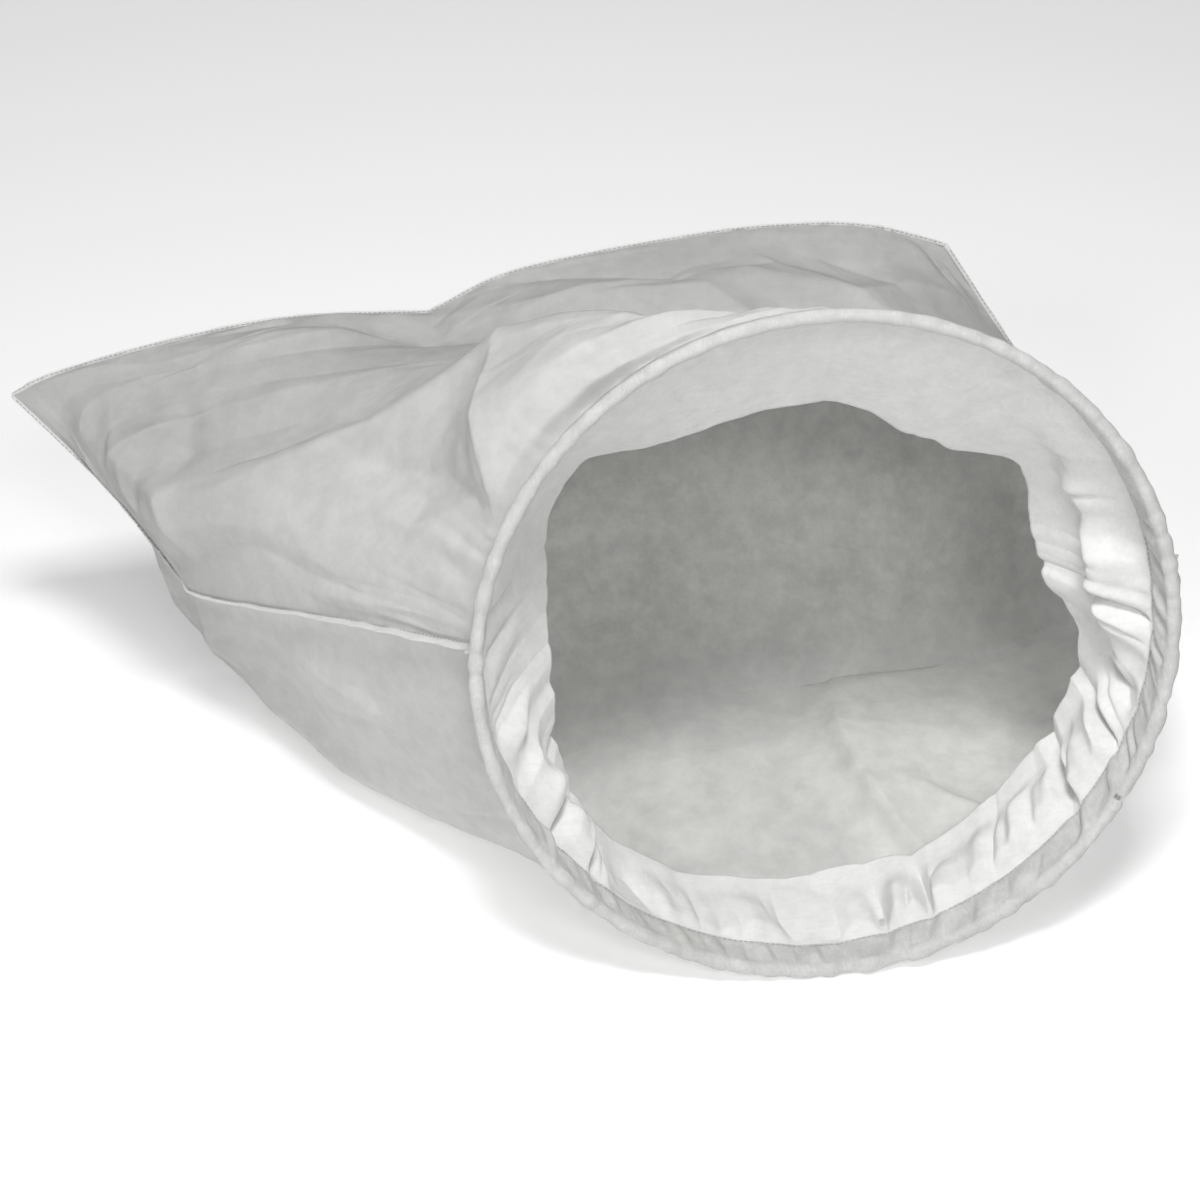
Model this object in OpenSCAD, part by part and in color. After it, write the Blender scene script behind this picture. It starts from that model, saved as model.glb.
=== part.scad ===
// Cloth filter bag for a workshop dust collector, lying with its mouth propped open by a hoop.
// The bag is a pillow of two cloth panels. Its mouth is gathered onto a stitched sleeve that holds a wire hoop.
// Units are millimetres. +X is to the right seen from in front of the mouth, +Y goes back to the closed end,
// +Z is up.

/* [Mouth] */
// outer radius of the mouth rim
rim_r = 250; // [200:1:320]
// lean of the mouth plane back from the vertical, degrees
mouth_lean = 15; // [0:1:30]
// radius of the hoop's wire
wire_r = 3; // [2:0.5:4]
// wall of the crimped tube that joins the hoop's ends
ferrule_wall = 0.9; // [0.5:0.1:1.2]
// length of the crimped tube, as an angle round the hoop
ferrule_angle = 8; // [4:1:12]
// position of the hoop's joint, degrees round the mouth from its lowest point
ferrule_pos = 60; // [0:5:355]
// radius of the tunnel in the hem that holds the hoop
tunnel_r = 4.3; // [4.2:0.1:6]
// depth of the stitched hem, from the hoop's centre to the stitch line
hem_depth = 26; // [20:1:40]
// thickness of the hem's cloth round the hoop
hem_cloth = 0.9; // [0.6:0.1:1.5]
// depth of the inner cuff behind the stitch line
cuff_depth = 72; // [40:1:90]

/* [Cloth] */
// thickness given to each cloth panel
panel_t = 1.2; // [1:0.1:3]
// width of the turned seam allowance
seam_w = 10; // [6:1:16]
// thickness of the turned seam allowance, several layers of cloth
seam_t = 2.8; // [2:0.1:4]
// thickness of the sewing thread
thread_t = 0.8; // [0.5:0.1:1.2]
// clear distance between a panel's edge and the middle of its seam
edge_gap = 2.7; // [2:0.1:4]

/* [Fineness] */
// strips across each panel
across = 40; // [20:2:60]
// strips along each panel
along = 28; // [14:2:40]
// steps along each seam
seam_steps = 44; // [20:2:80]
// steps round the inner cuff
cuff_steps = 60; // [30:6:90]

/* [Hidden] */
// moves the model so that its origin is at the middle of its base
base_shift = [127.9, -254.6, 0];
wire_ring_r = rim_r - tunnel_r - hem_cloth;
bore_r = wire_ring_r - tunnel_r - hem_cloth;
hem_back_r = bore_r + 2.4;
centre_y = rim_r * sin(mouth_lean);
centre_z = wire_ring_r * cos(mouth_lean) + tunnel_r + hem_cloth;
panel_start = hem_depth + 2;
panel_r = hem_back_r - 0.4;
thread_low = seam_t / 2 + 0.3;

cloth_white = [0.90, 0.90, 0.88];
thread_white = [0.95, 0.95, 0.94];

// A point of the mouth: angle a from its lowest point, radius r, depth s behind the mouth plane.
function mouth(a, r, s) = [
    r * sin(a),
    centre_y - r * cos(a) * sin(mouth_lean) + s * cos(mouth_lean),
    centre_z - r * cos(a) * cos(mouth_lean) - s * sin(mouth_lean)];
function wrap(a) = a > 180 ? a - 360 : a;
function unit(v) = v / max(norm(v), 0.000001);

// The closed end, from the left corner to the right corner.
closed_end = [
    [-569, 450, 254], [-535, 450, 270], [-445, 450, 293], [-350, 458, 302],
    [-243, 480, 286], [-170, 490, 313], [-26, 505, 326], [60, 507, 328],
    [110, 503, 325], [148, 499, 315], [170, 495, 309]];

// Where each panel's columns leave the mouth, degrees from the lowest point.
top_angles = [-94, -98, -104, -110, -132, -155, -180, -205, -225, -245, -262];
bottom_angles = [-94, -75, -58, -40, -20, 0, 20, 40, 60, 80, 98];

// Upper panel: rows from the mouth to the closed end, each from the left seam to the right seam.
top_rows = [
    [for (a = top_angles) mouth(a, panel_r, panel_start)],
    [[-330, 200, 203], [-347, 225, 240], [-285, 200, 295], [-222, 165, 365], [-172, 165, 420], [-95, 165, 458],
        [-10, 170, 455], [85, 168, 440], [160, 155, 398], [212, 145, 338], [262, 140, 250]],
    [[-432, 325, 140], [-447, 340, 218], [-320, 297, 292], [-200, 240, 392], [-150, 205, 434], [-85, 190, 448],
        [0, 200, 425], [90, 200, 400], [165, 190, 358], [225, 185, 308], [285, 215, 190]],
    [[-450, 350, 142], [-470, 375, 225], [-340, 340, 290], [-210, 300, 355], [-140, 280, 372], [-70, 270, 365],
        [15, 265, 350], [95, 265, 340], [168, 260, 313], [225, 260, 265], [300, 310, 140]],
    [[-468, 375, 155], [-490, 400, 238], [-380, 385, 285], [-255, 370, 315], [-155, 365, 330], [-70, 355, 325],
        [20, 350, 308], [95, 350, 300], [165, 345, 285], [222, 350, 245], [292, 385, 145]],
    [[-505, 415, 190], [-515, 430, 255], [-424, 425, 277], [-323, 425, 296], [-230, 435, 285], [-113, 440, 321],
        [-15, 440, 331], [80, 430, 312], [135, 430, 300], [190, 440, 262], [240, 452, 205]],
    closed_end];

// Lower panel: it lies on the ground behind the mouth, then turns up to form the back of the bag.
bottom_rows = [
    [for (a = bottom_angles) mouth(a, panel_r, panel_start)],
    [[-330, 200, 203], [-345, 225, 110], [-320, 236, 22], [-228, 185, 5], [-110, 120, 2], [0, 100, 2],
        [95, 105, 2], [180, 120, 8], [240, 145, 50], [266, 150, 140], [262, 140, 250]],
    [[-432, 325, 140], [-420, 345, 75], [-385, 350, 16], [-290, 280, 3], [-150, 220, 2], [-20, 220, 2],
        [90, 215, 2], [185, 225, 2], [262, 240, 18], [292, 240, 90], [285, 215, 190]],
    [[-450, 350, 142], [-448, 388, 80], [-425, 415, 22], [-310, 340, 5], [-175, 300, 3], [-53, 331, 3],
        [60, 327, 3], [165, 345, 3], [275, 385, 8], [315, 350, 70], [300, 310, 140]],
    [[-468, 375, 155], [-468, 408, 120], [-440, 435, 75], [-320, 375, 65], [-188, 338, 70], [-60, 362, 80],
        [60, 362, 80], [160, 385, 85], [250, 420, 70], [302, 410, 100], [292, 385, 145]],
    [[-505, 415, 190], [-485, 440, 200], [-435, 440, 190], [-320, 420, 185], [-200, 415, 190], [-70, 435, 200],
        [50, 440, 200], [135, 445, 200], [185, 450, 190], [228, 455, 185], [240, 452, 205]],
    closed_end];

// Smooth curve through a list of points (Catmull-Rom); t runs from 0 to len(p) - 1.
function smooth(p, t) = let (
    n = len(p), i = min(floor(t), n - 2), f = t - i,
    a = i > 0 ? p[i - 1] : 2 * p[0] - p[1], b = p[i], c = p[i + 1],
    d = i + 2 < n ? p[i + 2] : 2 * p[n - 1] - p[n - 2])
    b + 0.5 * f * (c - a + f * (2 * a - 5 * b + 4 * c - d + f * (3 * (b - c) + d - a)));
function column(rows, k) = [for (r = rows) r[k]];

// Directions across the seams: each points from the lower panel's side to the upper panel's side.
function tangent(p, t) = unit(smooth(p, min(t + 0.02, len(p) - 1)) - smooth(p, max(t - 0.02, 0)));
left_out = [-0.8, -0.6, 0];
right_out = [1, 0, 0];
end_out = [0, 0.5, 0.866];
function left_up(p, t) = unit(cross(tangent(p, t), left_out));
function right_up(p, t) = unit(cross(right_out, tangent(p, t)));
function end_up(p, t) = unit(cross(tangent(p, t), end_out));

// Middle surface of a panel at u (left to right) and v (mouth to closed end), each 0 to 1.
// Near its seams the panel is set off to its own side, so that the seam allowance fits between the two panels.
function near_edge(x, w) = max(0, 1 - x / w);
function panel_point(rows, u, v, side) = let (
    nr = len(rows) - 1, nc = len(rows[0]) - 1,
    row = [for (k = [0:nc]) smooth(column(rows, k), v * nr)],
    p = smooth(row, u * nc),
    fade = min(1, v * 12),
    off = edge_gap * side * fade * (
        left_up(column(rows, 0), v * nr) * near_edge(u, 0.08)
        + right_up(column(rows, nc), v * nr) * near_edge(1 - u, 0.08))
        + edge_gap * side * end_up(rows[nr], u * nc) * near_edge(1 - v, 0.08),
    q = p + off)
    [q[0], q[1], max(q[2], panel_t / 2 + 0.1)];

// Closed thin shell on a grid of points g: half the thickness is laid on each side.
module shell(g, t) {
    nr = len(g) - 1;
    nc = len(g[0]) - 1;
    n = (nr + 1) * (nc + 1);
    normals = [for (i = [0:nr]) [for (j = [0:nc])
        unit(cross(g[i][min(j + 1, nc)] - g[i][max(j - 1, 0)], g[min(i + 1, nr)][j] - g[max(i - 1, 0)][j]))]];
    function lift(q) = [q[0], q[1], max(q[2], 0.05)];
    front = [for (i = [0:nr]) for (j = [0:nc]) lift(g[i][j] + normals[i][j] * t / 2)];
    back = [for (i = [0:nr]) for (j = [0:nc]) lift(g[i][j] - normals[i][j] * t / 2)];
    function at(i, j) = i * (nc + 1) + j;
    faces = concat(
        [for (i = [0:nr - 1]) for (j = [0:nc - 1]) [at(i, j), at(i + 1, j), at(i + 1, j + 1)]],
        [for (i = [0:nr - 1]) for (j = [0:nc - 1]) [at(i, j), at(i + 1, j + 1), at(i, j + 1)]],
        [for (i = [0:nr - 1]) for (j = [0:nc - 1]) [n + at(i, j), n + at(i + 1, j + 1), n + at(i + 1, j)]],
        [for (i = [0:nr - 1]) for (j = [0:nc - 1]) [n + at(i, j), n + at(i, j + 1), n + at(i + 1, j + 1)]],
        [for (j = [0:nc - 1]) [at(0, j), at(0, j + 1), n + at(0, j + 1)]],
        [for (j = [0:nc - 1]) [at(0, j), n + at(0, j + 1), n + at(0, j)]],
        [for (j = [0:nc - 1]) [at(nr, j + 1), at(nr, j), n + at(nr, j)]],
        [for (j = [0:nc - 1]) [at(nr, j + 1), n + at(nr, j), n + at(nr, j + 1)]],
        [for (i = [0:nr - 1]) [at(i + 1, 0), at(i, 0), n + at(i, 0)]],
        [for (i = [0:nr - 1]) [at(i + 1, 0), n + at(i, 0), n + at(i + 1, 0)]],
        [for (i = [0:nr - 1]) [at(i, nc), at(i + 1, nc), n + at(i + 1, nc)]],
        [for (i = [0:nr - 1]) [at(i, nc), n + at(i + 1, nc), n + at(i, nc)]]);
    polyhedron(points = concat(front, back), faces = faces, convexity = 10);
}

// Strip of rectangular section carried along a curve: o is across the strip, n is through its thickness.
module strip(points, outs, ups, o0, o1, n0, n1) {
    k = len(points);
    ring = [for (i = [0:k - 1]) for (c = [[o0, n0], [o1, n0], [o1, n1], [o0, n1]])
        points[i] + outs[i] * c[0] + ups[i] * c[1]];
    faces = concat(
        [[0, 1, 2], [0, 2, 3]],
        [for (i = [0:k - 2]) for (c = [0:3]) [4 * i + c, 4 * i + 4 + c, 4 * i + 4 + (c + 1) % 4]],
        [for (i = [0:k - 2]) for (c = [0:3]) [4 * i + c, 4 * i + 4 + (c + 1) % 4, 4 * i + (c + 1) % 4]],
        [[4 * k - 4, 4 * k - 2, 4 * k - 3], [4 * k - 4, 4 * k - 1, 4 * k - 2]]);
    polyhedron(points = ring, faces = faces, convexity = 6);
}

// A seam from t0 to t1 (as shares of its curve), with its section given across (o) and through (n).
module side_strip(p, is_left, t0, t1, o0, o1, n0, n1) {
    m = len(p) - 1;
    ts = [for (i = [0:seam_steps]) m * (t0 + (t1 - t0) * i / seam_steps)];
    pts = [for (t = ts) smooth(p, t)];
    ups = [for (t = ts) is_left ? left_up(p, t) : right_up(p, t)];
    outs = [for (i = [0:seam_steps])
        is_left ? unit(cross(ups[i], tangent(p, ts[i]))) : unit(cross(tangent(p, ts[i]), ups[i]))];
    if (is_left)
        strip(pts, outs, ups, o0, o1, n0, n1);
    else
        strip(pts, outs, ups, o0, o1, n1, n0);
}
module end_strip(o0, o1, n0, n1, t0, t1) {
    m = len(closed_end) - 1;
    ts = [for (i = [0:seam_steps]) m * (t0 + (t1 - t0) * i / seam_steps)];
    pts = [for (t = ts) smooth(closed_end, t)];
    ups = [for (t = ts) end_up(closed_end, t)];
    outs = [for (i = [0:seam_steps]) unit(cross(ups[i], tangent(closed_end, ts[i])))];
    strip(pts, outs, ups, o0, o1, n0, n1);
}

module top_panel() place() color(cloth_white)
    shell([for (i = [0:along]) [for (j = [0:across])
        panel_point(top_rows, j / across, i / along, 1)]], panel_t);

module bottom_panel() place() color(cloth_white)
    shell([for (i = [0:along]) [for (j = [0:across])
        panel_point(bottom_rows, j / across, i / along, -1)]], panel_t);

module left_side_seam() place() color(cloth_white)
    side_strip(column(top_rows, 0), true, 0.03, 0.965, -1, seam_w - 1, -seam_t / 2, seam_t / 2);
module right_side_seam() place() color(cloth_white)
    side_strip(column(top_rows, 10), false, 0.03, 0.965, -1, seam_w - 1, -seam_t / 2, seam_t / 2);
module end_seam() place() color(cloth_white)
    end_strip(-1, seam_w - 1, -seam_t / 2, seam_t / 2, 0, 1);

// Lines of thread, laid on the upper face of each seam allowance.
module left_seam_stitching() place() color(thread_white)
    side_strip(column(top_rows, 0), true, 0.035, 0.96, 4, 4 + thread_t, thread_low, thread_low + thread_t);
module right_seam_stitching() place() color(thread_white)
    side_strip(column(top_rows, 10), false, 0.035, 0.96, 4, 4 + thread_t, thread_low, thread_low + thread_t);
module end_seam_stitching() place() color(thread_white)
    end_strip(4, 4 + thread_t, thread_low, thread_low + thread_t, 0.01, 0.99);

// Puts a node in the row frame, with the origin at the middle of its base.
module place() translate(base_shift) children();

// Puts a shape turned about Z onto the mouth: Z points out of the bag along the mouth's axis.
module on_mouth() translate([0, centre_y, centre_z]) rotate([90 - mouth_lean, 0, 0]) children();

// The hem: a sleeve of cloth round the hoop, flat inside, closing to the stitch line behind.
// Its section is a loop of cloth drawn from its inner wall, round the hoop and back down the outside.
function loop_section(tube, back_in, back_out, depth) = concat(
    [[back_in, -depth], [wire_ring_r - tube, 0]],
    [for (a = [165:-15:-15]) [wire_ring_r + tube * cos(a), tube * sin(a)]],
    [[back_out, -depth]]);
module mouth_hem() place() color(cloth_white) on_mouth()
    rotate_extrude($fn = 180) difference() {
        polygon(loop_section(tunnel_r + hem_cloth, bore_r, hem_back_r, hem_depth));
        polygon(loop_section(tunnel_r, bore_r + hem_cloth, hem_back_r - hem_cloth, hem_depth - 3));
    }

// The wire hoop: a ring whose two ends meet inside the crimped tube.
module hoop() place() color([0.62, 0.63, 0.65]) on_mouth()
    rotate([0, 0, ferrule_pos - 90 + 0.15]) rotate_extrude(angle = 359.7, $fn = 180)
        translate([wire_ring_r, 0]) circle(wire_r, $fn = 32);
module hoop_ferrule() place() color([0.72, 0.72, 0.73]) on_mouth()
    rotate([0, 0, ferrule_pos - 90 - ferrule_angle / 2]) rotate_extrude(angle = ferrule_angle, $fn = 180)
        translate([wire_ring_r, 0]) difference() {
            circle(wire_r + 0.05 + ferrule_wall, $fn = 32);
            circle(wire_r + 0.05, $fn = 32);
        }

// The lock-stitch that closes the hem, a ring of thread at its back edge.
module hem_stitching() place() color(thread_white) on_mouth()
    rotate_extrude($fn = 180) translate([bore_r + 1.6, -hem_depth - 0.9]) circle(thread_t / 2, $fn = 16);

// The inner cuff: the free inner edge of the mouth's band, which hangs in from the stitch line.
// How far its edge stands in from the hem, by the angle round the mouth from its lowest point.
cuff_fall = [[-180, 88], [-152, 85], [-138, 68], [-126, 42], [-114, 40], [-98, 52], [-84, 52], [-66, 30],
    [-48, 16], [-30, 11], [-10, 18], [4, 24], [16, 20], [28, 8], [54, 8], [70, 14], [84, 44], [98, 62],
    [112, 60], [122, 44], [135, 78], [152, 90], [170, 84], [180, 88]];
function cuff_point(a, w) = let (
    k = lookup(a, cuff_fall) / 100, d = cuff_depth * w,
    q = mouth(a, bore_r - 0.9 - 100 * k * w * (0.6 + 0.4 * w), hem_depth + 2 + d))
    [q[0], q[1], max(q[2], 3.4 + 6 * w * (1 - w))];
module inner_cuff() place() color(cloth_white)
    shell([for (i = [0:6]) [for (j = [0:cuff_steps])
        cuff_point(wrap(-38 + 355.5 * j / cuff_steps), i / 6)]], 1);

// The narrow strip that joins the two ends of the cuff's band.
module cuff_joint() place() color(cloth_white)
    shell([for (i = [0:6]) [for (j = [0:2])
        cuff_point(-38 - 4.05 + 3.6 * j / 2, i / 6)]], 1);

// The turned ends of the side seams, lapped over the outside of the hem.
module seam_end(a) on_mouth() rotate([0, 0, a - 90 - 1.2]) rotate_extrude(angle = 2.4, $fn = 180)
    polygon([[hem_back_r + 1.0, -hem_depth + 1], [hem_back_r + 2.4, -hem_depth + 1],
        [rim_r + 1.2, -3], [rim_r + 0.4, -1.5], [rim_r - 0.1, -2.4]]);
module left_seam_end() place() color(cloth_white) seam_end(-94);
module right_seam_end() place() color(cloth_white) seam_end(98);

top_panel();
bottom_panel();
left_side_seam();
right_side_seam();
end_seam();
left_seam_stitching();
right_seam_stitching();
end_seam_stitching();
mouth_hem();
inner_cuff();
cuff_joint();
hem_stitching();
hoop();
hoop_ferrule();
left_seam_end();
right_seam_end();
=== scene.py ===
import math

import bpy
import numpy as np
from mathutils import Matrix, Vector
from mathutils.geometry import delaunay_2d_cdt


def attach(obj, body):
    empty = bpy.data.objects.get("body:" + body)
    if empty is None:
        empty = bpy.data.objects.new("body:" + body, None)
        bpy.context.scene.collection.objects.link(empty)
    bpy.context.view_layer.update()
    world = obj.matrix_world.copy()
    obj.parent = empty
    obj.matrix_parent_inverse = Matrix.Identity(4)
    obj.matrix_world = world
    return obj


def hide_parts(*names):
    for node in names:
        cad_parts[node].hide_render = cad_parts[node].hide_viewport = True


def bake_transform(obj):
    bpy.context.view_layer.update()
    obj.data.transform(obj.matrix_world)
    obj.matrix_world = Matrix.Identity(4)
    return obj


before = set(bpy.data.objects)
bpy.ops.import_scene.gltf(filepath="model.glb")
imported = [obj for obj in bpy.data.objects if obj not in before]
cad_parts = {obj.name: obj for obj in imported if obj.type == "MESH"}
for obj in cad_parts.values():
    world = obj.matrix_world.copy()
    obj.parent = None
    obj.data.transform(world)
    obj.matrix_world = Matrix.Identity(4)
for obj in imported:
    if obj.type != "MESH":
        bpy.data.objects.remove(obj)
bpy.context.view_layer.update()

# ---------------------------------------------------------------- sizes, in millimetres
SHIFT = np.array([127.9, -254.6, 0.0])
RIM_R = 250.0
TUNNEL_R = 4.3
HEM_CLOTH = 0.9
WIRE_RING_R = RIM_R - TUNNEL_R - HEM_CLOTH
BORE_R = WIRE_RING_R - TUNNEL_R - HEM_CLOTH
HEM_DEPTH = 26.0
LEAN = math.radians(15)
CENTRE = np.array([0.0, RIM_R * math.sin(LEAN), WIRE_RING_R * math.cos(LEAN) + TUNNEL_R + HEM_CLOTH])
RING_UP = np.array([0.0, math.sin(LEAN), math.cos(LEAN)])
INWARD = np.array([0.0, math.cos(LEAN), -math.sin(LEAN)])
PANEL_START = HEM_DEPTH + 0.5
PANEL_R = BORE_R + 2.0
CLOTH_T = 0.55
SEED = 7


def mouth(a, r, s):
    """Point of the mouth at angle a (degrees from the lowest point), radius r, depth s."""
    a, r, s = np.broadcast_arrays(np.radians(a), r, s)
    return (CENTRE + (r * np.sin(a))[..., None] * np.array([1.0, 0, 0])
            - (r * np.cos(a))[..., None] * RING_UP + s[..., None] * INWARD)


def depth_of(p):
    return (p - CENTRE) @ INWARD


# ---------------------------------------------------------------- control rows of the two panels
CLOSED_END = [(-569, 450, 254), (-535, 450, 270), (-445, 450, 293), (-350, 458, 302), (-243, 480, 286),
              (-170, 490, 313), (-26, 505, 326), (60, 507, 328), (110, 503, 325), (148, 499, 315),
              (170, 495, 309)]
TOP_ANGLES = np.array([-94, -98, -104, -110, -132, -155, -180, -205, -225, -245, -262.0])
BOTTOM_ANGLES = np.array([-94, -75, -58, -40, -20, 0, 20, 40, 60, 80, 98.0])
TOP_ROWS = [
    None,
    [(-330, 200, 203), (-347, 225, 240), (-285, 200, 295), (-222, 165, 365), (-172, 165, 420),
     (-95, 165, 458),
     (-10, 170, 455), (85, 168, 440), (160, 155, 398), (212, 145, 338), (262, 140, 250)],
    [(-432, 325, 140), (-447, 340, 218), (-320, 297, 292), (-200, 240, 392), (-150, 205, 434),
     (-85, 190, 448),
     (0, 200, 425), (90, 200, 400), (165, 190, 358), (225, 185, 308), (285, 215, 190)],
    [(-450, 350, 142), (-470, 375, 225), (-340, 340, 290), (-210, 300, 355), (-140, 280, 372),
     (-70, 270, 365),
     (15, 265, 350), (95, 265, 340), (168, 260, 313), (225, 260, 265), (300, 310, 140)],
    [(-468, 375, 155), (-490, 400, 238), (-380, 385, 285), (-255, 370, 315), (-155, 365, 330),
     (-70, 355, 325),
     (20, 350, 308), (95, 350, 300), (165, 345, 285), (222, 350, 245), (292, 385, 145)],
    [(-505, 415, 190), (-515, 430, 255), (-424, 425, 277), (-323, 425, 296), (-230, 435, 285),
     (-113, 440, 321),
     (-15, 440, 331), (80, 430, 312), (135, 430, 300), (190, 440, 262), (240, 452, 205)],
    CLOSED_END]
BOTTOM_ROWS = [
    None,
    [(-330, 200, 203), (-345, 225, 110), (-320, 236, 22), (-228, 185, 5), (-110, 120, 2), (0, 100, 2),
     (95, 105, 2), (180, 120, 8), (240, 145, 50), (266, 150, 140), (262, 140, 250)],
    [(-432, 325, 140), (-420, 345, 75), (-385, 350, 16), (-290, 280, 3), (-150, 220, 2), (-20, 220, 2),
     (90, 215, 2), (185, 225, 2), (262, 240, 18), (292, 240, 90), (285, 215, 190)],
    [(-450, 350, 142), (-448, 388, 80), (-425, 415, 22), (-310, 340, 5), (-175, 300, 3), (-53, 331, 3),
     (60, 327, 3), (165, 345, 3), (275, 385, 8), (315, 350, 70), (300, 310, 140)],
    [(-468, 375, 155), (-468, 408, 120), (-440, 435, 75), (-320, 375, 65), (-188, 338, 70), (-60, 362, 80),
     (60, 362, 80), (160, 385, 85), (250, 420, 70), (302, 410, 100), (292, 385, 145)],
    [(-505, 415, 190), (-485, 440, 200), (-435, 440, 190), (-320, 420, 185), (-200, 415, 190),
     (-70, 435, 200),
     (50, 440, 200), (135, 445, 200), (185, 450, 190), (228, 455, 185), (240, 452, 205)],
    CLOSED_END]


def rows_array(rows, angles):
    first = mouth(angles, PANEL_R, PANEL_START)
    return np.array([first] + [np.array(r, float) for r in rows[1:]])


def spline(p, t):
    """Catmull-Rom through p (n, ..., 3) at parameters t (0 .. n-1), as an array (len(t), ..., 3)."""
    p = np.asarray(p, float)
    n = len(p)
    q = np.concatenate([[2 * p[0] - p[1]], p, [2 * p[-1] - p[-2]]])
    i = np.clip(np.floor(t).astype(int), 0, n - 2)
    f = (t - i).reshape((-1,) + (1,) * (p.ndim - 1))
    a, b, c, d = q[i], q[i + 1], q[i + 2], q[i + 3]
    return b + 0.5 * f * (c - a + f * (2 * a - 5 * b + 4 * c - d + f * (3 * (b - c) + d - a)))


def broken_spline(p, t, at):
    """The same, with a corner at control point number at, where the cloth is creased."""
    first = t <= at
    return np.concatenate([spline(p[:at + 1], t[first]), spline(p[at:], t[~first] - at)])


def grid(rows, us, vs, corner_row=None, corner_column=None):
    """Points (len(vs), len(us), 3); us and vs run from 0 to 1. A corner row or column is a crease."""
    nr, nc = rows.shape[:2]
    tv, tu = vs * (nr - 1), us * (nc - 1)
    by_v = spline(rows, tv) if corner_row is None else broken_spline(rows, tv, corner_row)
    by_v = np.moveaxis(by_v, 1, 0)
    by_u = spline(by_v, tu) if corner_column is None else broken_spline(by_v, tu, corner_column)
    return np.moveaxis(by_u, 0, 1)


def unit(v):
    return v / np.maximum(np.linalg.norm(v, axis=-1, keepdims=True), 1e-9)


def normals(g, outward=1):
    du = np.gradient(g, axis=1)
    dv = np.gradient(g, axis=0)
    return outward * unit(np.cross(du, dv))


# ---------------------------------------------------------------- seeded noise
def value_noise(p, size, seed):
    """Smooth value noise in -1 .. 1 at points p (..., d), with features of about size."""
    q = np.asarray(p, float) / size + 1000.0
    base = np.floor(q).astype(np.int64)
    f = q - base
    f = f * f * f * (f * (6 * f - 15) + 10)
    out = 0.0
    d = q.shape[-1]
    primes = np.array([73856093, 19349663, 83492791])[:d]
    for corner in range(2 ** d):
        c = np.array([(corner >> k) & 1 for k in range(d)])
        h = ((base + c) * primes).sum(-1) + seed * 2654435761
        h = (h ^ (h >> 13)) * 1274126177 & 0x7FFFFFFF
        h = (h ^ (h >> 16)) * 69069 & 0x7FFFFFFF
        val = (h % 65536) / 32767.5 - 1
        out = out + val * np.prod(np.where(c, f, 1 - f), axis=-1)
    return out


def fbm(p, size, seed, octaves=3, gain=0.5):
    out, amp, tot = 0.0, 1.0, 0.0
    for k in range(octaves):
        out = out + amp * value_noise(p, size / 2 ** k, seed + 17 * k)
        tot += amp
        amp *= gain
    return out / tot


def smoothstep(x, a, b):
    t = np.clip((x - a) / (b - a), 0, 1)
    return t * t * (3 - 2 * t)


# ---------------------------------------------------------------- meshes
def mesh_object(name, verts, faces, smooth=True):
    me = bpy.data.meshes.new(name)
    me.from_pydata([tuple(v) for v in verts], [], faces)
    me.polygons.foreach_set("use_smooth", [smooth] * len(me.polygons))
    me.update()
    ob = bpy.data.objects.new(name, me)
    bpy.context.collection.objects.link(ob)
    return ob


def to_frame(p):
    return (np.asarray(p, float).reshape(-1, 3) + SHIFT) * 0.001


def grid_faces(nv, nu, wrap_u=False):
    faces = []
    for i in range(nv - 1):
        for j in range(nu - (0 if wrap_u else 1)):
            k = (j + 1) % nu
            faces.append((i * nu + j, i * nu + k, (i + 1) * nu + k, (i + 1) * nu + j))
    return faces


def grid_object(name, g, wrap_u=False):
    nv, nu = g.shape[:2]
    return mesh_object(name, to_frame(g), grid_faces(nv, nu, wrap_u))


def modifier(ob, kind, **values):
    m = ob.modifiers.new(kind.title(), kind)
    for k, v in values.items():
        setattr(m, k, v)
    return m


def apply_all(ob):
    bpy.context.view_layer.update()
    dg = bpy.context.evaluated_depsgraph_get()
    me = bpy.data.meshes.new_from_object(ob.evaluated_get(dg), preserve_all_data_layers=True, depsgraph=dg)
    ob.modifiers.clear()
    ob.data = me
    return ob


# ---------------------------------------------------------------- the panels
NU, NV = 300, 210
us, vs = np.linspace(0, 1, NU), np.linspace(0, 1, NV)
U, V = np.meshgrid(us, vs)
SPAN_U, SPAN_V = 860.0, 460.0


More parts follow.
